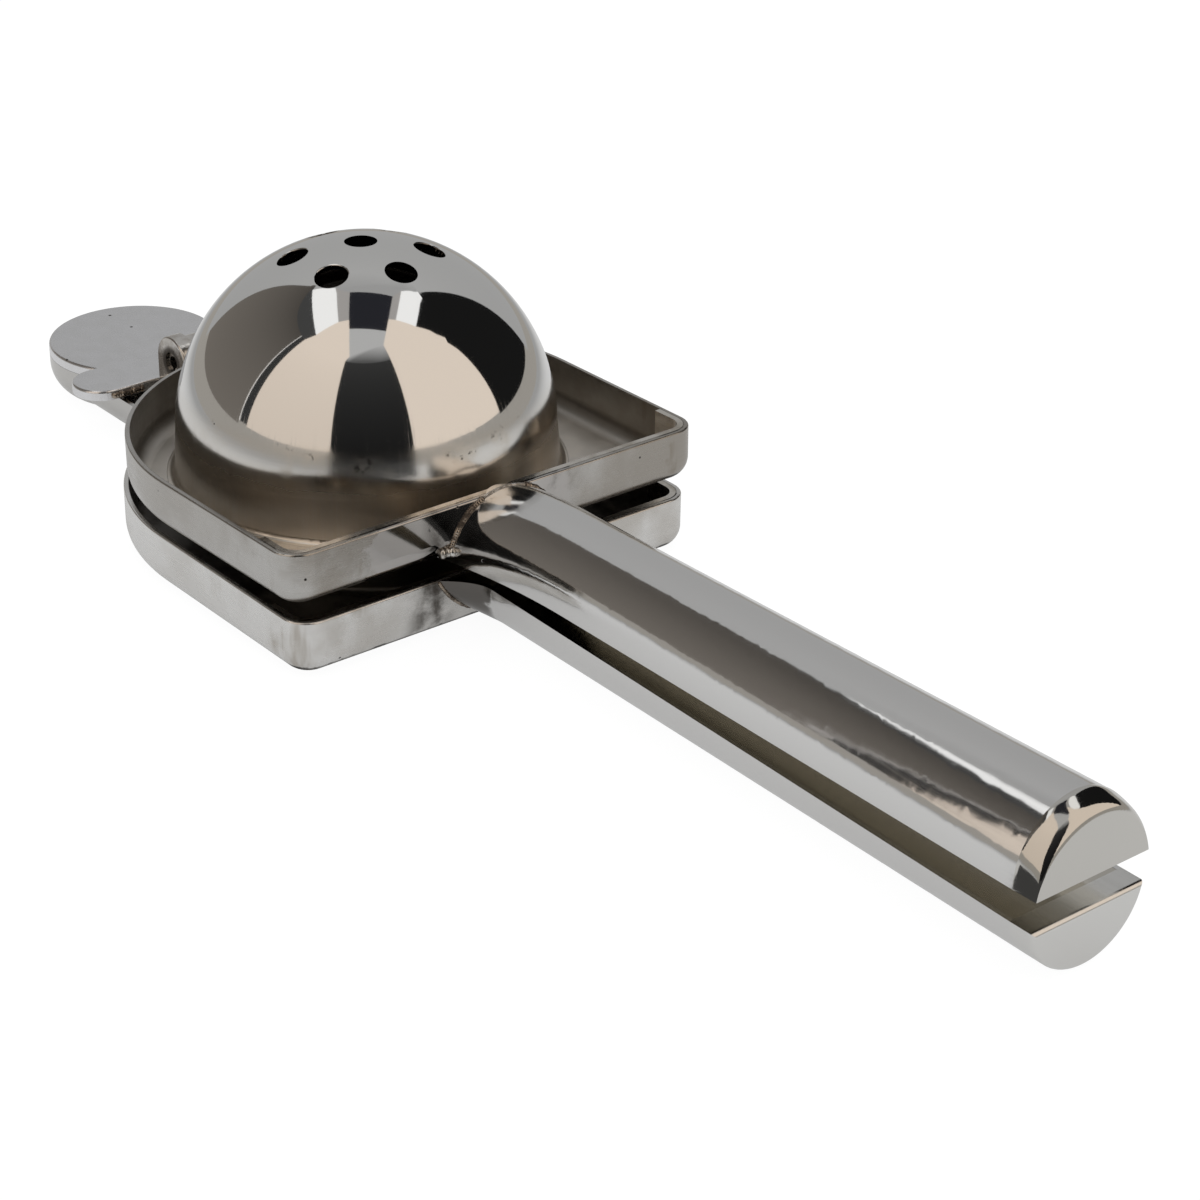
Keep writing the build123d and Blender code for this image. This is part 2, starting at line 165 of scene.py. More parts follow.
def new_steel(name):
    """An empty steel material: its tree, its Principled BSDF and the object's coordinates."""
    material = bpy.data.materials.new(name)
    material.use_nodes = True
    tree = material.node_tree
    shader = tree.nodes["Principled BSDF"]
    shader.inputs["Metallic"].default_value = 1.0
    here = place(tree, "ShaderNodeTexCoord").outputs["Object"]
    return material, tree, shader, here


def coat(tree, shader, colour, roughness):
    """Gives a shader its colour and its roughness."""
    tree.links.new(colour, shader.inputs["Base Color"])
    tree.links.new(roughness, shader.inputs["Roughness"])


def bump(tree, shader, height, depth):
    """Gives a shader a relief of that depth in metres."""
    relief = place(tree, "ShaderNodeBump", {"Height": height, "Distance": depth, "Strength": 1.0})
    tree.links.new(relief.outputs[0], shader.inputs["Normal"])


def finish_node(name, material):
    """Gives a CAD node its finish."""
    mesh = nodes[name].data
    mesh.materials.clear()
    mesh.materials.append(material)


PIT_BLACK = (0.03, 0.027, 0.025, 1)
# soot from heat, and also painted shade in the bowl's holes and in the recess round the hinge pin
SOOT_AND_SHADE = (0.09, 0.08, 0.07, 1)
BUFFED_GREY = (0.52, 0.5, 0.48, 1)
SMEARS = (130, 130, 22)            # lines per metre: smears that run down the walls
BRUSHING = (160, 160, 2400)        # brushing that runs along the walls
PAN_PIT_DEPTH = 0.00004
PAN_CORNER = 0.005
SHEET = 0.0009
SHEET_BLUR = 0.0002
UNDERSIDE = (0.0003, 0.0006)       # heights between which a pan's lower face gives way to its inside
FRONT_WALL = (0.004, 0.002)        # distances behind the front between which the front wall begins
SEAM_START = (0.012, 0.008)        # the same, for the dirt in the seam of the strip
RAGGED = 0.003                     # how far the clouds push an edge to and fro
SCORCH_REACH = 0.0065
BLUR = 0.001
SMEARED_SHARE = 0.9
SMEARED_CORNER = (0.03, 0.012)     # distances from the right front corner: none of it, all of it

# each pan: its wall, painted darker on the strainer as shade, its smears, the inside of its wall and
# its floor, painted with their light and shade, how far to each side the root of its grip has
# scorched it, and from where to where its front wall is buffed, leftwards
PAN_FINISHES = {
    "strainer": ((0.56, 0.55, 0.53, 1), (0.3, 0.265, 0.22, 1), (0.2, 0.182, 0.16, 1),
                 (0.88, 0.84, 0.78, 1), 0.0118, (-0.027, 0.011)),
    "press": ((0.84, 0.835, 0.82, 1), (0.5, 0.465, 0.415, 1), (0.1, 0.088, 0.078, 1),
              (0.08, 0.07, 0.06, 1), 0.0155, (0.0, 0.0)),
}

for half, (wall, smeared, inner_wall_shade, inner_floor_light_and_shade, root, buffed_span) in PAN_FINISHES.items():
    low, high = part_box(half + "_pan")
    pan_steel, tree, shader, here = new_steel(half + "_pan_steel")
    spot = split(tree, here)
    deep = use(tree, pan_depth, Place=here, Back_centre=low.x + high.y, Half_width=high.y,
               Front=high.x, Corner=PAN_CORNER)
    in_the_pan = product(tree, spread(tree, deep, SHEET - SHEET_BLUR, SHEET + SHEET_BLUR),
                         spread(tree, spot[2], *UNDERSIDE))
    smears = spread(tree, use(tree, grain, Place=here, Lines_per_metre=SMEARS), 0.44, 0.66)
    clouds = use(tree, stains, Place=here, Width=0.012, From=0.42, To=0.68)
    blotches = use(tree, stains, Place=here, Width=0.03, From=0.4, To=0.62)
    brushing = use(tree, grain, Place=here, Lines_per_metre=BRUSHING)
    specks = use(tree, pits, Place=here, Spacing=0.005, Size=0.06, Share=0.16)

    # what the wheel has buffed, what the weld has scorched, and dirt in the seam of the strip
    ragged = maths(tree, "ADD", spot[1], spread(tree, clouds, 0.0, 1.0, -RAGGED, RAGGED))
    front = spread(tree, spot[0], *(high.x - distance for distance in FRONT_WALL))
    right_end, left_end = buffed_span
    buffed = product(tree, front, spread(tree, ragged, right_end - BLUR, right_end + BLUR),
                     spread(tree, ragged, left_end + BLUR, left_end - BLUR))
    aside = maths(tree, "ABSOLUTE", spot[1])
    near_root = maths(tree, "ABSOLUTE", maths(tree, "SUBTRACT", aside, root))
    scorched = product(tree, front, spread(tree, near_root, SCORCH_REACH, BLUR),
                       spread(tree, clouds, -0.2, 0.9))
    seam = maths(tree, "ABSOLUTE", maths(tree, "SUBTRACT", deep, SHEET))
    seam_dirt = product(tree, spread(tree, seam, 0.0003, 0.0001), spread(tree, smears, 0.1, 0.7),
                        spread(tree, spot[0], *(high.x - distance for distance in SEAM_START)))

    # smears thicken towards the left and round the right front corner
    from_corner = vector_maths(tree, "SUBTRACT", here, (high.x, low.y, high.z))
    near_corner = spread(tree, vector_maths(tree, "LENGTH", from_corner), *SMEARED_CORNER)
    thicker = spread(tree, spot[1], -0.02, 0.03, 0.5 * SMEARED_SHARE, SMEARED_SHARE)
    soiled = maths(tree, "MAXIMUM", product(tree, smears, clouds), product(tree, blotches, 0.7))
    soiled = product(tree, soiled, maths(tree, "MAXIMUM", thicker, near_corner))

    # painted light and shade inside the pan: dark walls, and a floor lit on the strainer and shaded on the
    # press
    inside = blend_colours(tree, spread(tree, deep, 0.0015, 0.004), inner_wall_shade, inner_floor_light_and_shade)
    inside_light_share = product(tree, in_the_pan, spread(tree, clouds, 0.0, 1.0, 0.85, 1.0))
    # the strainer's wall colour is painted darker, as shade and as the reflection of the dark gap under it
    colour = blend_colours(tree, soiled, wall, smeared)
    colour = blend_colours(tree, buffed, colour, BUFFED_GREY)
    colour = blend_colours(tree, scorched, colour, SOOT_AND_SHADE)
    colour = blend_colours(tree, inside_light_share, colour, inside)
    colour = blend_colours(tree, maths(tree, "MAXIMUM", specks, seam_dirt), colour, PIT_BLACK)
    satin = maths(tree, "ADD", spread(tree, brushing, 0.3, 0.7, 0.2, 0.3), product(tree, clouds, 0.08))
    satin = maths(tree, "MULTIPLY", satin, spread(tree, buffed, 0.0, 1.0, 1.0, 0.25))
    satin = maths(tree, "ADD", satin, product(tree, in_the_pan, 0.2))
    coat(tree, shader, colour, satin)
    relief = product(tree, brushing, spread(tree, buffed, 0.0, 1.0, 0.3, 0.0))
    bump(tree, shader, maths(tree, "SUBTRACT", relief, specks), PAN_PIT_DEPTH)
    finish_node(half + "_pan", pan_steel)


# A stiffening strip is let into each pan behind its front wall. Its edge is rubbed bright.
RUBBED_STRIP, DULL_STRIP = (0.7, 0.67, 0.62, 1), (0.45, 0.41, 0.35, 1)

strip_steel, tree, shader, here = new_steel("strip_steel")
dulled = use(tree, stains, Place=here, Width=0.006, From=0.4, To=0.65)
brushing = use(tree, grain, Place=here, Lines_per_metre=BRUSHING)
coat(tree, shader, blend_colours(tree, dulled, RUBBED_STRIP, DULL_STRIP),
     spread(tree, brushing, 0.3, 0.7, 0.12, 0.22))
bump(tree, shader, brushing, 0.00001)
finish_node("strainer_front_strip", strip_steel)
finish_node("press_front_strip", strip_steel)


# ---------------------------------------------------------------- the perforated bowl
# The strainer's bowl is drawn from the same sheet, drilled, and polished to a mirror down to
# its skirt, where the buffing wheel no longer reached and the drawing marks are left.
BOWL_MIDDLE_X = (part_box("strainer_dome")[0].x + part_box("strainer_dome")[1].x) / 2
BOWL_RADIUS = 0.034
BOWL_CENTRE_Z = 0.0216
BOWL_LEAN = 0.0001                 # its sphere is centred this far behind its middle
MIRROR_GREY = (0.78, 0.775, 0.76, 1)
WORN_GREY = (0.76, 0.72, 0.66, 1)
SKIRT_BROWN = (0.72, 0.66, 0.58, 1)
MIRROR_FOOT = 0.0305               # height at which the mirror fades into the band under it
SKIRT_TOP = 0.026
SHADED_DEPTHS = (0.00008, 0.00014)     # depths under the sphere between which its outside ends and the painted shade of its holes and inside begins
MIRROR_ROUGHNESS = 0.045

bowl_steel, tree, shader, here = new_steel("bowl_steel")
from_centre = vector_maths(tree, "SUBTRACT", here, (BOWL_MIDDLE_X - BOWL_LEAN, 0, BOWL_CENTRE_Z))
spot = split(tree, from_centre)
unrolled = pair(tree, maths(tree, "ARCTAN2", spot[1], spot[0]), spot[2])
draw_marks = use(tree, grain, Place=unrolled, Lines_per_metre=(45, 60, 1))
ring_marks = use(tree, grain, Place=unrolled, Lines_per_metre=(4, 1100, 1))
scratches = spread(tree, use(tree, grain, Place=unrolled, Lines_per_metre=(150, 45, 1)), 0.53, 0.66)
clouds = use(tree, stains, Place=here, Width=0.009, From=0.4, To=0.72)
smudges = use(tree, stains, Place=here, Width=0.0016, From=0.55, To=0.62)
specks = use(tree, pits, Place=here, Spacing=0.0055, Size=0.05, Share=0.2)
wavy = maths(tree, "ADD", split(tree, here)[2], spread(tree, clouds, 0.0, 1.0, -0.0003, 0.0003))
band = spread(tree, wavy, MIRROR_FOOT + 0.0012, MIRROR_FOOT - 0.0012)
skirt = spread(tree, wavy, SKIRT_TOP + 0.0015, SKIRT_TOP - 0.0035)
scratched = product(tree, scratches, spread(tree, wavy, MIRROR_FOOT + 0.006, MIRROR_FOOT + 0.001))
struck = product(tree, smudges, band, spread(tree, skirt, 0.5, 0.0), spread(tree, clouds, 0.45, 0.75))
far_in = maths(tree, "SUBTRACT", BOWL_RADIUS, vector_maths(tree, "LENGTH", from_centre))
painted_shade_inside = product(tree, spread(tree, far_in, *SHADED_DEPTHS), spread(tree, spot[2], 0.001, 0.004))

worn = product(tree, band, spread(tree, clouds, 0.0, 1.0, 0.4, 1.0))
drawn = product(tree, skirt, spread(tree, draw_marks, 0.3, 0.7, 0.7, 1.0))
colour = blend_colours(tree, worn, MIRROR_GREY, WORN_GREY)
colour = blend_colours(tree, drawn, colour, SKIRT_BROWN)
colour = blend_colours(tree, maths(tree, "MAXIMUM", product(tree, struck, 0.8), specks), colour, SOOT_AND_SHADE)
# painted shade in the holes and on the inside of the bowl
colour = blend_colours(tree, painted_shade_inside, colour, SOOT_AND_SHADE)
dull = maths(tree, "MAXIMUM", product(tree, band, spread(tree, clouds, 0.0, 1.0, 0.1, 0.2)),
             maths(tree, "MAXIMUM", product(tree, scratched, 0.15), product(tree, skirt, 0.24)))
coat(tree, shader, colour, maths(tree, "ADD", dull, MIRROR_ROUGHNESS))
marks = maths(tree, "ADD", product(tree, draw_marks, 0.12), product(tree, ring_marks, 0.15))
bump(tree, shader, maths(tree, "SUBTRACT", product(tree, band, marks), specks), 0.00004)
finish_node("strainer_dome", bowl_steel)

# The press dome under the bowl is left as it came from the die, darkened by the juice.
DIE_GREY, JUICE_BROWN = (0.3, 0.28, 0.25, 1), (0.2, 0.18, 0.15, 1)

dome_steel, tree, shader, here = new_steel("dome_steel")
clouds = use(tree, stains, Place=here, Width=0.01, From=0.4, To=0.7)
die_marks = use(tree, grain, Place=here, Lines_per_metre=(200, 200, 1200))
coat(tree, shader, blend_colours(tree, clouds, DIE_GREY, JUICE_BROWN),
     spread(tree, die_marks, 0.3, 0.7, 0.3, 0.4))
finish_node("press_dome", dome_steel)


# ---------------------------------------------------------------- the grips
# Half-round grips of folded sheet, each with a flat plate let in and a cap at its end. They
# are polished lengthwise, and use has left a few pits and hairline scratches.
GRIP_HALF_WIDTH = 0.0115
PIT_DEPTH = 0.00003
SCORCH_LENGTH = 0.0075             # from the front wall of the press pan along its grip
NOWHERE = -1.0                     # a place along the grip that lies far behind the squeezer


def polish(name, base, clearest, haziest, swell=0.0, scorched_to=NOWHERE):
    """Polishes a CAD node, with lengthwise hairlines. Its middle may look swollen by a height in
    metres, and its root may be scorched up to a place along the grip."""
    material, tree, shader, here = new_steel(name + "_steel")
    low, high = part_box(name)
    hairlines = use(tree, grain, Place=here, Lines_per_metre=(30, 1500, 1500))
    clouds = use(tree, stains, Place=here, Width=0.02, From=0.5, To=0.75)
    burns = use(tree, stains, Place=here, Width=0.006, From=0.3, To=0.7)
    specks = use(tree, pits, Place=here, Spacing=0.008, Size=0.045, Share=0.2)
    ragged = maths(tree, "ADD", split(tree, here)[0], spread(tree, burns, 0.0, 1.0, -0.0015, 0.0015))
    scorched = spread(tree, ragged, scorched_to + BLUR, scorched_to - BLUR, 0.0, 0.9)
    colour = blend_colours(tree, scorched, base, SOOT_AND_SHADE)
    hazy = maths(tree, "ADD", spread(tree, hairlines, 0.35, 0.75, clearest, haziest),
                 product(tree, clouds, 0.03))
    coat(tree, shader, blend_colours(tree, specks, colour, PIT_BLACK), hazy)
    middle = vector_maths(tree, "SUBTRACT", here, (0, 0, (low.z + high.z) / 2))
    aside = vector_maths(tree, "LENGTH", vector_maths(tree, "MULTIPLY", middle, (0, 1, 1)))
    swollen = product(tree, aside, aside, -swell / (GRIP_HALF_WIDTH**2 * PIT_DEPTH))
    bump(tree, shader, maths(tree, "SUBTRACT", swollen, specks), PIT_DEPTH)
    finish_node(name, material)


SHELL_GREY, PLATE_BROWN = (0.76, 0.755, 0.745, 1), (0.6, 0.575, 0.52, 1)
BRIGHT_CAP, SATIN_CAP = (0.66, 0.645, 0.61, 1), (0.78, 0.775, 0.755, 1)
scorch_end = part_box("press_pan")[1].x + SCORCH_LENGTH

polish("strainer_grip_shell", SHELL_GREY, 0.08, 0.13)
polish("press_grip_shell", SHELL_GREY, 0.08, 0.13, scorched_to=scorch_end)
polish("strainer_grip_plate", PLATE_BROWN, 0.08, 0.13)
polish("press_grip_plate", PLATE_BROWN, 0.08, 0.13)
polish("strainer_end_cap", BRIGHT_CAP, 0.06, 0.1, swell=0.0006)
polish("press_end_cap", SATIN_CAP, 0.18, 0.26, swell=0.0002)


# ---------------------------------------------------------------- the tail
# The tail is a trough pressed from the same sheet and welded behind the press pan. Its plate
# is ground flat and left satin, with a few rubbed marks.
GROUND_GREY, MOTTLED_GREY = (0.84, 0.84, 0.855, 1), (0.76, 0.76, 0.76, 1)
RUB_BROWN, TROUGH_GREY = (0.45, 0.43, 0.4, 1), (0.62, 0.61, 0.59, 1)

tail_steel, tree, shader, here = new_steel("tail_steel")
mottle = use(tree, stains, Place=here, Width=0.0035, From=0.3, To=0.7)
rubs = use(tree, stains, Place=here, Width=0.006, From=0.66, To=0.74)
grinding = use(tree, grain, Place=here, Lines_per_metre=(300, 1800, 300))
specks = use(tree, pits, Place=here, Spacing=0.007, Size=0.06, Share=0.15)
colour = blend_colours(tree, product(tree, mottle, 0.5), GROUND_GREY, MOTTLED_GREY)
colour = blend_colours(tree, product(tree, rubs, 0.5), colour, RUB_BROWN)
coat(tree, shader, blend_colours(tree, specks, colour, PIT_BLACK),
     spread(tree, grinding, 0.3, 0.7, 0.2, 0.28))
bump(tree, shader, maths(tree, "SUBTRACT", product(tree, grinding, 0.2), specks), PIT_DEPTH)
finish_node("tail_plate", tail_steel)
polish("tail_shell", TROUGH_GREY, 0.12, 0.2)


# ---------------------------------------------------------------- the hinge
# Two ears cut from bar, a spring pin rolled from strip, and the barrel and arm of the strainer
# half. A ring round the pin is painted dark as the shade of the recess it sits in.
PIN_MIDDLE = (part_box("hinge_pin")[0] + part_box("hinge_pin")[1]) / 2
RING_INSIDE = (0.0018, 0.0021)     # distances from the middle of the pin: no ring yet, full ring
RING_OUTSIDE = (0.0036, 0.0026)    # no ring any more, full ring
BAR_GREY, BAR_BROWN = (0.7, 0.68, 0.65, 1), (0.42, 0.38, 0.33, 1)

hinge_steel, tree, shader, here = new_steel("hinge_steel")
spot = split(tree, vector_maths(tree, "SUBTRACT", here, (PIN_MIDDLE.x, 0, PIN_MIDDLE.z)))
distance = vector_maths(tree, "LENGTH", pair(tree, spot[0], spot[2]))
# painted shade: a dark ring round the pin, where it sits in its recess
ring = product(tree, spread(tree, distance, *RING_INSIDE), spread(tree, distance, *RING_OUTSIDE))
clouds = use(tree, stains, Place=here, Width=0.004, From=0.4, To=0.7)
file_marks = use(tree, grain, Place=here, Lines_per_metre=(900, 900, 300))
colour = blend_colours(tree, product(tree, clouds, 0.7), BAR_GREY, BAR_BROWN)
coat(tree, shader, blend_colours(tree, product(tree, ring, 0.8), colour, SOOT_AND_SHADE),
     spread(tree, file_marks, 0.3, 0.7, 0.12, 0.28))
bump(tree, shader, file_marks, PIT_DEPTH)
for name in ("left_hinge_ear", "right_hinge_ear", "hinge_pin", "hinge_barrel", "hinge_arm"):
    finish_node(name, hinge_steel)


# ---------------------------------------------------------------- weld beads
# Each grip is welded to the front wall of its pan from outside, and the bar across the tail to
# its trough. The beads are short overlapping drops, left as they set. Most are browned by heat.
DROP_SPACING = 0.36                # of the width of the bead
SEAM_STEPS = 24

weld_metals = {}
for name, clean, burnt in (("burnt_weld", (0.4, 0.34, 0.28, 1), (0.11, 0.09, 0.075, 1)),
                           ("silver_weld", (0.75, 0.73, 0.7, 1), (0.4, 0.37, 0.33, 1))):
    weld_metals[name], tree, shader, here = new_steel(name)
    tarnish = use(tree, stains, Place=here, Width=0.0012, From=0.4, To=0.62)
    coat(tree, shader, blend_colours(tree, tarnish, clean, burnt),
         spread(tree, tarnish, 0.0, 1.0, 0.16, 0.4))

bead_tree = bpy.data.node_groups.new("weld_bead", "GeometryNodeTree")
for label, kind in (("Path", "Geometry"), ("Width", "Float"), ("Spacing", "Float"), ("Seed", "Int"),
                    ("Metal", "Material")):
    bead_tree.interface.new_socket(label, in_out="INPUT", socket_type="NodeSocket" + kind)
bead_tree.interface.new_socket("Bead", in_out="OUTPUT", socket_type="NodeSocketGeometry")
given = bead_tree.nodes.new("NodeGroupInput").outputs
path = place(bead_tree, "GeometryNodeMeshToCurve", {0: given["Path"]})
spaced = place(bead_tree, "GeometryNodeResampleCurve", {"Curve": path.outputs[0], "Length": given["Spacing"]},
               mode="LENGTH")
drop = place(bead_tree, "GeometryNodeMeshUVSphere", {"Segments": 8, "Rings": 6, "Radius": 0.5})
sizes = place(bead_tree, "FunctionNodeRandomValue", {0: (0.85, 0.85, 0.65), 1: (1.1, 1.1, 0.9),
                                                     "Seed": given["Seed"]}, data_type="FLOAT_VECTOR")
scaled = place(bead_tree, "ShaderNodeVectorMath", {0: sizes.outputs[0], "Scale": given["Width"]},
               operation="SCALE")
tangent = place(bead_tree, "GeometryNodeInputTangent")
aligned = place(bead_tree, "FunctionNodeAlignRotationToVector", {"Vector": tangent.outputs[0]}, axis="Z")
drops = place(bead_tree, "GeometryNodeInstanceOnPoints", {
    "Points": spaced.outputs[0], "Instance": drop.outputs[0], "Rotation": aligned.outputs[0],
    "Scale": scaled.outputs[0]})
real = place(bead_tree, "GeometryNodeRealizeInstances", {0: drops.outputs[0]})
rounded = place(bead_tree, "GeometryNodeSetShadeSmooth", {0: real.outputs[0]})
coated = place(bead_tree, "GeometryNodeSetMaterial", {0: rounded.outputs[0], "Material": given["Metal"]})
bead_tree.links.new(coated.outputs[0], bead_tree.nodes.new("NodeGroupOutput").inputs["Bead"])
socket_ids = {item.name: item.identifier for item in bead_tree.interface.items_tree}


def lay_bead(name, body, metal, width, runs):
    """Lays weld drops along runs of points, as one piece on that body."""
    points = [point for run in runs for point in run]
    edges, first = [], 0
    for run in runs:
        edges += [(first + step, first + step + 1) for step in range(len(run) - 1)]
        first += len(run)
    seam = bpy.data.meshes.new(name)
    seam.from_pydata(points, edges, [])
    bead = bpy.data.objects.new(name, seam)
    bpy.context.scene.collection.objects.link(bead)
    modifier = bead.modifiers.new("drops", "NODES")
    modifier.node_group = bead_tree
    for label, value in (("Width", width), ("Spacing", DROP_SPACING * width), ("Seed", len(points)),
                         ("Metal", weld_metals[metal])):
        modifier[socket_ids[label]] = value
    bpy.context.view_layer.update()
    evaluated = bead.evaluated_get(bpy.context.evaluated_depsgraph_get())
    bead.data = bpy.data.meshes.new_from_object(evaluated)
    bead.modifiers.clear()
    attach(bead, body)


def root_seam(front, flat_z, half_width, crest, first, last):
    """Points on the front wall along the half-round root of a grip. The two ends are shares of
    the arc from its crest, negative on the right. The crest is negative below the flat."""
    radius = (half_width**2 + crest**2) / (2 * abs(crest))
    widest = asin(half_width / radius)
    upward = 1 if crest > 0 else -1
    points = []
    for step in range(SEAM_STEPS + 1):
        angle = widest * (first + (last - first) * step / SEAM_STEPS)
        rise = abs(crest) - radius + radius * cos(angle)
        points.append((front, radius * sin(angle), flat_z + upward * rise))
    return points


strainer_front, strainer_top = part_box("strainer_pan")[1].x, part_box("strainer_pan")[1].z
press_front, press_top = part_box("press_pan")[1].x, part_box("press_pan")[1].z
STRAINER_ROOT = (strainer_front - 0.0001, strainer_top - 0.01, 0.0116, 0.0106)
PRESS_ROOT = (press_front, press_top, 0.014, -0.0088)    # front, flat, half width and crest
CREST_SHARE = 0.28                 # of the arc of the strainer's root, to each side of its crest
STRAINER_ARC_END, PRESS_ARC_START, PRESS_ARC_END = 0.9, 0.45, 0.97
LUMP_OUTER, LUMP_INNER = 0.0129, 0.0102          # to the side
LUMP_DROP = -0.0082                # from the rim of the pan
LUMP_SLANT = 0.0003
TAIL_INNER, TAIL_OUTER = 0.0105, 0.0165          # to the side
TAIL_HEIGHT = 0.0093               # under the lip of the bar
bar_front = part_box("left_hinge_ear")[0].x - 0.00005
lump_height = strainer_top + LUMP_DROP

lay_bead("strainer_grip_weld", "strainer", "burnt_weld", 0.00125, [
    root_seam(*STRAINER_ROOT, -STRAINER_ARC_END, -CREST_SHARE),
    root_seam(*STRAINER_ROOT, CREST_SHARE, STRAINER_ARC_END)])
lay_bead("strainer_crest_weld", "strainer", "silver_weld", 0.0007, [
    root_seam(*STRAINER_ROOT, -CREST_SHARE, CREST_SHARE)])
lay_bead("strainer_weld_ends", "strainer", "silver_weld", 0.0021, [
    [(strainer_front - LUMP_SLANT, side * LUMP_OUTER, lump_height),
     (strainer_front + LUMP_SLANT, side * LUMP_INNER, lump_height)] for side in (-1, 1)])
lay_bead("press_grip_weld", "press", "burnt_weld", 0.0008, [
    root_seam(*PRESS_ROOT, -PRESS_ARC_END, -PRESS_ARC_START),
    root_seam(*PRESS_ROOT, PRESS_ARC_START, PRESS_ARC_END)])
lay_bead("tail_weld", "press", "burnt_weld", 0.0016, [
    [(bar_front, side * TAIL_INNER, TAIL_HEIGHT), (bar_front, side * TAIL_OUTER, TAIL_HEIGHT)]
    for side in (-1, 1)])


# ---------------------------------------------------------------- floor
# A plain white table. The camera sees it glow, so that it stays white and still shows the
# shadow. The metal sees it as a pale grey, darker the further it lies from the squeezer.
FLOOR_HALF = 3.0
FLOOR_DROP = 0.00002               # just under the squeezer, so that their faces don't coincide
FLOOR_LOOKS = {"Camera": (0.95, 1.05, 0.9), "Glossy": (0.6, 0.74, 0.5)}  # paint, glow, share of glow
PALE_END = 0.16                    # the line under the squeezer runs from the bowl to this X
DARKENING = (0.11, 0.27)           # distances from that line between which the table darkens
DARKEST = 0.44

table = bpy.data.meshes.new("floor")
corners = [(x * FLOOR_HALF, y * FLOOR_HALF, -FLOOR_DROP) for x, y in ((-1, -1), (1, -1), (1, 1), (-1, 1))]
table.from_pydata(corners, [], [(0, 1, 2, 3)])
floor = bpy.data.objects.new("floor", table)
bpy.context.scene.collection.objects.link(floor)

table_white = bpy.data.materials.new("table_white")
table_white.use_nodes = True
tree = table_white.node_tree
tree.nodes.remove(tree.nodes["Principled BSDF"])
rays = place(tree, "ShaderNodeLightPath").outputs
spot = split(tree, place(tree, "ShaderNodeTexCoord").outputs["Object"])
along = place(tree, "ShaderNodeClamp", {"Value": spot[0], "Min": BOWL_MIDDLE_X, "Max": PALE_END})
offset = pair(tree, maths(tree, "SUBTRACT", spot[0], along.outputs[0]), spot[1])
from_squeezer = vector_maths(tree, "LENGTH", offset)
far_off = product(tree, rays["Is Glossy Ray"], spread(tree, from_squeezer, *DARKENING, 0.0, DARKEST))
unlit = place(tree, "ShaderNodeEmission", {"Strength": 0.0}).outputs[0]
surface = place(tree, "ShaderNodeBsdfDiffuse", {"Color": (0.9, 0.9, 0.9, 1)}).outputs[0]
for ray, (paint, glow, share) in FLOOR_LOOKS.items():
    painted = place(tree, "ShaderNodeBsdfDiffuse", {"Color": (paint, paint, paint, 1)})
    glowing = place(tree, "ShaderNodeEmission", {"Color": (1, 1, 1, 1), "Strength": glow})
    both = place(tree, "ShaderNodeMixShader", {0: share, 1: painted.outputs[0], 2: glowing.outputs[0]})
    surface = place(tree, "ShaderNodeMixShader", {0: rays[f"Is {ray} Ray"], 1: surface,
                                                  2: both.outputs[0]}).outputs[0]
surface = place(tree, "ShaderNodeMixShader", {0: far_off, 1: surface, 2: unlit}).outputs[0]
tree.links.new(surface, tree.nodes["Material Output"].inputs["Surface"])
table.materials.append(table_white)


# ---------------------------------------------------------------- light tent
# Cloths stand round the table and hang over it, where only the metal sees them: a pale
# backdrop, a soft light on each side of the lens, and dark cloth between. A white lamp hangs
# on each side of the hole in the roof.
LENS_SIDE = -39.16                 # direction of the lens from the bowl, in degrees from +X
TENT_RADIUS = 0.34
TENT_HEIGHT = 0.55
COLUMNS = 12
WHITE, CREAM, PALE_CREAM, BROWN = (1, 1, 1), (1, 0.87, 0.75), (1, 0.96, 0.93), (1, 0.9, 0.8)
LAMP = 1.03
BAND = 0.4
HEM_FOOT, FLAP_HEIGHT = 0.0003, 0.0004   # just off the table
HEM = (0.37, 0.35, 0.32)           # the table's grey, seen under the cloths
LENS_HEM = (0.06, 0.06, 0.06)

# each wall, going round from behind: its last edge in degrees from the lens, positive to the
# right as the lens sees it, the height of its foot, its colour, its brightness at its foot and
# at its top, and its hem
WALLS = {
    "backdrop": (-134.7, 0.036, WHITE, 0.4, 0.45, HEM),
    "left_cloth": (-74.6, 0.05, BROWN, 0.18, 0.08, HEM),
    "left_seam": (-73.9, 0.06, PALE_CREAM, 0.8, 0.8, HEM),
    "left_gap": (-68.4, 0.06, WHITE, 0.04, 0.04, HEM),
    "left_light": (-16, 0.055, CREAM, 0.75, 0.85, HEM),
    "lens_gap": (30.6, 0.02, WHITE, 0.01, 0.04, LENS_HEM),
    "right_light": (88.5, 0.055, CREAM, 0.85, 0.85, HEM),
    "right_cloth": (135.7, 0.05, WHITE, 0.01, 0.01, HEM),
}

cloth_glow = bpy.data.materials.new("cloth_glow")
cloth_glow.use_nodes = True
tree = cloth_glow.node_tree
tree.nodes.remove(tree.nodes["Principled BSDF"])
painted = place(tree, "ShaderNodeVertexColor", layer_name="glow").outputs[0]
light = place(tree, "ShaderNodeEmission", {"Color": painted, "Strength": 1.0})
tree.links.new(light.outputs[0], tree.nodes["Material Output"].inputs["Surface"])


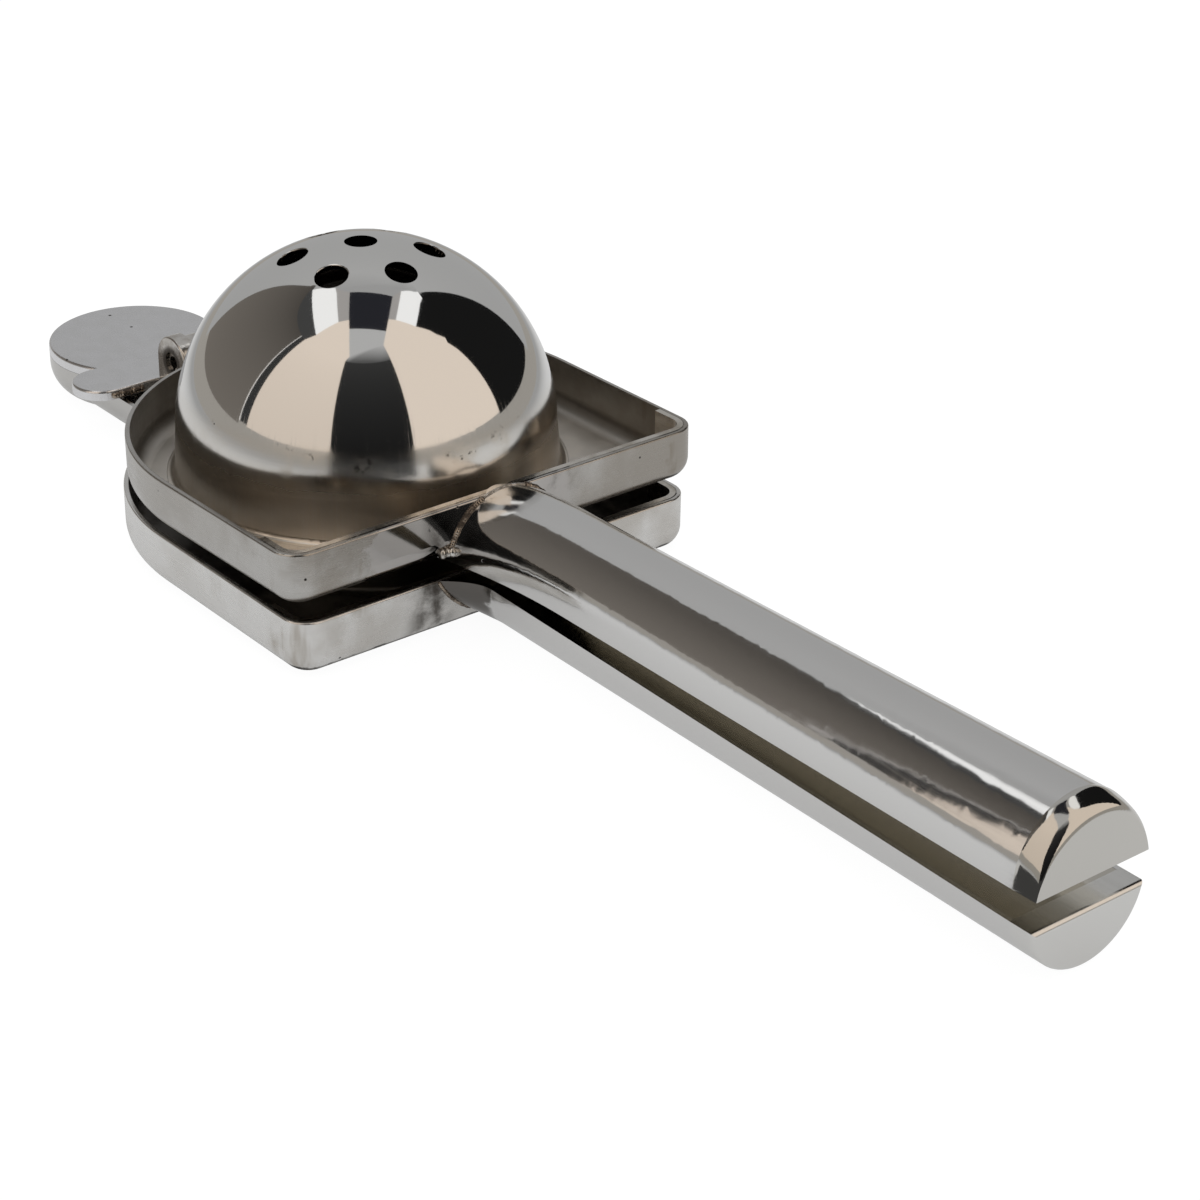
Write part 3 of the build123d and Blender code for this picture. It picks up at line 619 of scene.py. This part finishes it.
def hang(name, points, faces, colours):
    """Hangs a cloth that only the metal sees. Its points are given from the bowl's middle, towards
    the lens, to the right as the lens sees it, and up, each with its colour."""
    turn = radians(LENS_SIDE)
    placed = [(BOWL_MIDDLE_X + to_lens * cos(turn) - aside * sin(turn),
               to_lens * sin(turn) + aside * cos(turn), height) for to_lens, aside, height in points]
    mesh = bpy.data.meshes.new(name)
    mesh.from_pydata(placed, [], faces)
    flat_colours = [channel for colour in colours for channel in (*colour, 1.0)]
    mesh.color_attributes.new("glow", "FLOAT_COLOR", "POINT").data.foreach_set("color", flat_colours)
    mesh.materials.append(cloth_glow)
    cloth = bpy.data.objects.new(name, mesh)
    bpy.context.scene.collection.objects.link(cloth)
    cloth.visible_camera = cloth.visible_diffuse = cloth.visible_shadow = False


def dyed(colour, brightness):
    """A colour at a brightness."""
    return [brightness * channel for channel in colour]


def arc(start, end, height):
    """Points along the tent's round wall, between two directions from the lens."""
    turns = [radians(start + (end - start) * column / COLUMNS) for column in range(COLUMNS + 1)]
    return [(TENT_RADIUS * cos(turn), TENT_RADIUS * sin(turn), height) for turn in turns]


stretches = {}
start = WALLS["right_cloth"][0] - 360
for name, (end, foot, colour, at_foot, at_top, hem) in WALLS.items():
    rows = ((HEM_FOOT, hem), (foot, hem), (foot, dyed(colour, at_foot)), (TENT_HEIGHT, dyed(colour, at_top)))
    points = [point for height, shade in rows for point in arc(start, end, height)]
    colours = [shade for height, shade in rows for column in range(COLUMNS + 1)]
    corners = [row * (COLUMNS + 1) + column for row in (0, 2) for column in range(COLUMNS)]
    faces = [(corner, corner + 1, corner + COLUMNS + 2, corner + COLUMNS + 1) for corner in corners]
    hang(name, points, faces, colours)
    stretches[name] = (start, end)
    start = end

# where flat cloths meet: towards the lens, and to the right as the lens sees it
LEFT_LAMP_BACK, LEFT_LAMP_FRONT = (-0.215, -0.247), (0.117, -0.241)
LEFT_BAND_BACK, LEFT_BAND_FRONT = (-0.155, -0.128), (0.062, -0.117)
RIGHT_LAMP_BACK, RIGHT_LAMP_FRONT = (-0.232, 0.24), (0.026, 0.257)
RIGHT_LAMP_BEND = (-0.215, 0.187)
RIGHT_BAND_BACK, RIGHT_BAND_FRONT = (-0.185, 0.145), (0.027, 0.148)
HOLE_BACK_LEFT, HOLE_BACK_RIGHT = (-0.13, -0.07), (-0.126, 0.112)
HOLE_FRONT_LEFT, HOLE_FRONT_RIGHT = (0.055, -0.067), (0.033, 0.113)
GAP_BACK_LEFT, GAP_BACK_RIGHT = (0.11, -0.065), (0.11, 0.113)
GAP_FRONT_LEFT, GAP_FRONT_RIGHT = (0.29, -0.066), (0.2, 0.113)
FLAP_RIGHT, FLAP_LEFT = (0.138, 0.081), (0.154, -0.044)

# each flat cloth: its height, the first and the last wall that it joins, or none, its colour,
# its brightness at the wall and inwards, and the rest of its outline
FLAT_CLOTHS = {
    "lens_flap": (FLAP_HEIGHT, ("lens_gap", "lens_gap"), WHITE, 0.06, 0.06, [FLAP_RIGHT, FLAP_LEFT]),
    "backdrop_roof": (TENT_HEIGHT, ("backdrop", "backdrop"), WHITE, 0.45, 0.38, [
        LEFT_LAMP_BACK, LEFT_BAND_BACK, HOLE_BACK_LEFT, HOLE_BACK_RIGHT, RIGHT_BAND_BACK,
        RIGHT_LAMP_BEND, RIGHT_LAMP_BACK]),
    "left_cloth_roof": (TENT_HEIGHT, ("left_cloth", "left_gap"), WHITE, 0.06, 0.06, [
        LEFT_LAMP_FRONT, LEFT_LAMP_BACK]),
    "left_lamp": (TENT_HEIGHT, None, WHITE, LAMP, LAMP, [
        LEFT_LAMP_BACK, LEFT_BAND_BACK, LEFT_BAND_FRONT, LEFT_LAMP_FRONT]),
    "left_band": (TENT_HEIGHT, None, PALE_CREAM, BAND, BAND, [
        LEFT_BAND_BACK, HOLE_BACK_LEFT, HOLE_FRONT_LEFT, LEFT_BAND_FRONT]),
    "left_light_roof": (TENT_HEIGHT, ("left_light", "left_light"), CREAM, 0.85, 0.85, [
        GAP_FRONT_LEFT, GAP_BACK_LEFT, HOLE_FRONT_LEFT, LEFT_BAND_FRONT, LEFT_LAMP_FRONT]),
    "lens_gap_roof": (TENT_HEIGHT, ("lens_gap", "lens_gap"), WHITE, 0.1, 0.5, [
        GAP_FRONT_RIGHT, GAP_BACK_RIGHT, GAP_BACK_LEFT, GAP_FRONT_LEFT]),
    "right_light_roof": (TENT_HEIGHT, ("right_light", "right_light"), CREAM, 0.85, 0.85, [
        RIGHT_LAMP_FRONT, RIGHT_BAND_FRONT, HOLE_FRONT_RIGHT, GAP_FRONT_RIGHT]),
    "right_lamp": (TENT_HEIGHT, None, WHITE, LAMP, LAMP, [
        RIGHT_BAND_BACK, RIGHT_LAMP_BEND, RIGHT_LAMP_BACK, RIGHT_LAMP_FRONT, RIGHT_BAND_FRONT]),
    "right_band": (TENT_HEIGHT, None, PALE_CREAM, BAND, BAND, [
        HOLE_BACK_RIGHT, RIGHT_BAND_BACK, RIGHT_BAND_FRONT, HOLE_FRONT_RIGHT]),
    "right_cloth_roof": (TENT_HEIGHT, ("right_cloth", "right_cloth"), WHITE, 0.01, 0.01, [
        RIGHT_LAMP_BACK, RIGHT_LAMP_FRONT]),
}

for name, (height, walls, colour, at_wall, inwards, outline) in FLAT_CLOTHS.items():
    points = [(to_lens, aside, height) for to_lens, aside in outline]
    colours = [dyed(colour, inwards) for point in points]
    if walls:
        first, last = walls
        points += arc(stretches[first][0], stretches[last][1], height)
        colours += [dyed(colour, at_wall)] * (COLUMNS + 1)
    hang(name, points, [tuple(range(len(points)))], colours)


# ---------------------------------------------------------------- light and camera
# The room's own light is plain and even. What the metal sees of it past the tent is dark.
ROOM_LIGHT, ROOM_DARK = (1, 1, 1, 1), (0.022, 0.0225, 0.028, 1)

room = bpy.data.worlds.new("room")
bpy.context.scene.world = room
room.use_nodes = True
tree = room.node_tree
rays = place(tree, "ShaderNodeLightPath").outputs
bright, dark = (place(tree, "ShaderNodeBackground", {"Color": colour, "Strength": 1.0}).outputs[0]
                for colour in (ROOM_LIGHT, ROOM_DARK))
both = place(tree, "ShaderNodeMixShader", {0: rays["Is Glossy Ray"], 1: bright, 2: dark})
tree.links.new(both.outputs[0], tree.nodes["World Output"].inputs["Surface"])

camera = bpy.data.objects.new("camera", bpy.data.cameras.new("camera"))
camera.location = (0.3761, -0.2844, 0.25066)
camera.rotation_euler = Euler((radians(62.202), radians(-0.743), radians(51.231)))
camera.data.lens = 92.614
camera.data.sensor_width = 36.0
camera.data.clip_start = 0.01
bpy.context.scene.collection.objects.link(camera)
bpy.context.scene.camera = camera
bpy.context.scene.view_settings.view_transform = "Standard"
